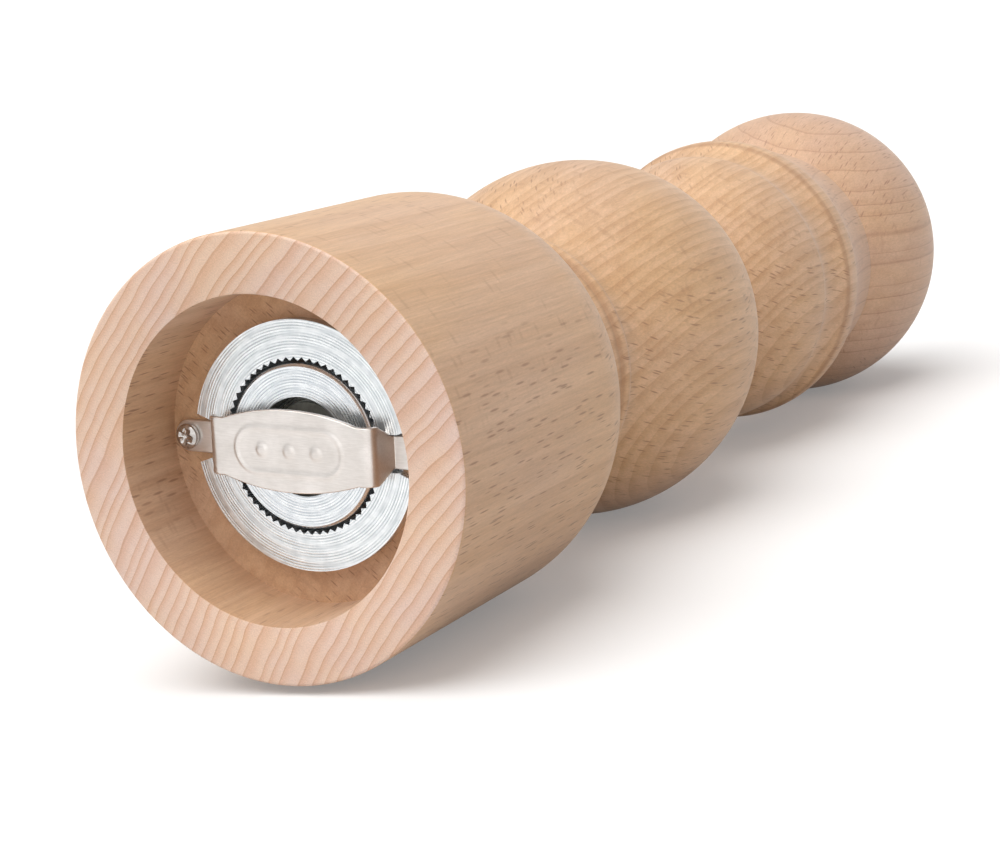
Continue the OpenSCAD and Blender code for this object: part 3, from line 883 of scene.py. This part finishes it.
def make_bracket():
    """Lofts the strip along its line, with both ends closed."""
    half = strip_line()
    line = [(-x, z) for x, z in reversed(half[1:])] + half
    work = bmesh.new()
    rings = [station(work, line, i) for i in range(len(line))]
    for first, second in zip(rings, rings[1:]):
        for i in range(len(first)):
            j = (i + 1) % len(first)
            work.faces.new((first[i], first[j], second[j], second[i]))
    work.faces.new(rings[0])
    work.faces.new(rings[-1])
    return finish_mesh("pressed_bracket", work, 50)


# %% Drilling and placing the bracket
hole_r = 1.15
drill_reach = 2


def drill(piece, holes, radius, low, high):
    """Cuts round holes along Z through a piece at the given x places."""
    for x in holes:
        bit = turned("bit", [(0, low), (radius, low), (radius, high), (0, high)], 32, False)
        bit.location.x = x * MM
        cut = piece.modifiers.new("hole", "BOOLEAN")
        cut.operation = "DIFFERENCE"
        cut.solver = "EXACT"
        cut.object = bit
        bpy.context.view_layer.update()
        graph = bpy.context.evaluated_depsgraph_get()
        shape = bpy.data.meshes.new_from_object(piece.evaluated_get(graph))
        piece.modifiers.clear()
        piece.data = shape
        bpy.data.objects.remove(bit)


bracket = make_bracket()
drill(bracket, (-screw_x, screw_x), hole_r, foot_z - drill_reach, foot_z + drill_reach)
bracket.data.materials.clear()
bracket.data.materials.append(satin_nickel)
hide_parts("bracket")
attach(bracket, "base")

# %% [markdown]
# The screws are cold headed: a domed pan with a cross pressed into it, whose walls lean inwards.
# A boolean would cut it with hard edges. Pressing the dome's points down by a smooth function of
# where they are leaves the soft lip that a real cross recess has.

# %% Pan head screws with a cross recess
def cross_depth(x, y, size):
    """How deep the cross is at a place on the head, from 0 to 1."""
    depth = 0.0
    for a, b in ((x, y), (y, x)):
        arm = 1 / (1 + math.exp((abs(b) - 0.23 * size) / (0.035 * size)))
        end = 1 / (1 + math.exp((abs(a) - 0.60 * size) / (0.05 * size)))
        slope = 1 - 0.6 * min(abs(a) / (0.7 * size), 1)
        depth = max(depth, arm * end * slope)
    return depth

# %% Outline of a screw
head_thick = 1.2
shank_r, root_r, tip_r = 1.1, 0.88, 0.8
thread_turns, thread_pitch = 22, 0.28
dome_steps, rim_steps = 40, 6


def screw_outline(low, high, radius, grip):
    """Outline of a pan head screw: domed top, round rim, flat underside, thread, tip."""
    face_z = low + head_thick
    outline = []
    for i in range(dome_steps + 1):
        t = i / dome_steps
        outline.append((radius * 0.93 * t, low + 0.42 * t ** 2.6))
    for i in range(1, rim_steps + 1):
        a = math.radians(-60 + 60 * i / rim_steps)
        r = radius * 0.86 + radius * 0.14 * math.cos(a)
        outline.append((r, low + 0.75 + 0.38 * math.sin(a)))
    outline += [(radius, face_z - 0.15), (radius - 0.1, face_z), (shank_r, face_z)]
    for i in range(thread_turns):
        t = face_z + grip + 0.6 + i * thread_pitch
        outline += [(shank_r, t), (root_r, t + thread_pitch / 2)]
    return outline + [(tip_r, high - 1.2), (0.0, high)]


# %% Four screws
cross_deep = 0.62


def press_cross(screw, low, radius, angle):
    """Presses the cross into the top of a screw's head and softens the edges it makes."""
    a = math.radians(angle)
    for vert in screw.data.vertices:
        px, py, pz = vert.co / MM
        if pz < low + 0.5 and math.hypot(px, py) < radius * 0.9:
            u = px * math.cos(a) + py * math.sin(a)
            v = -px * math.sin(a) + py * math.cos(a)
            vert.co.z += cross_deep * MM * cross_depth(u, v, radius)
    for edge in screw.data.edges:
        ends = [screw.data.vertices[i].co for i in edge.vertices]
        if all(end.z < (low + head_thick - 0.2) * MM for end in ends):
            edge.use_edge_sharp = False


def pan_screw(name, node, body_name, x, grip, angle):
    """Makes a screw round the axis, then moves it out to its place at x."""
    low, high = height_of(node)
    radius = (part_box(node)[1][0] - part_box(node)[0][0]) / MM / 2
    made = turned(name, screw_outline(low, high, radius, grip), 96, False)
    press_cross(made, low, radius, angle)
    for vert in made.data.vertices:
        vert.co.x += x * MM
    made.data.materials.append(bright_screw)
    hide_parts(node)
    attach(made, body_name)


plate_screw_x = 9.0
pan_screw("cross_screw_left", "bracket_screw_left", "base", -screw_x, strip_t, 20)
pan_screw("cross_screw_right", "bracket_screw_right", "base", screw_x, strip_t, 63)
pan_screw("plate_cross_screw_left", "drive_plate_screw_left", "head", -plate_screw_x, 0, 10)
pan_screw("plate_cross_screw_right", "drive_plate_screw_right", "head", plate_screw_x, 0, 75)
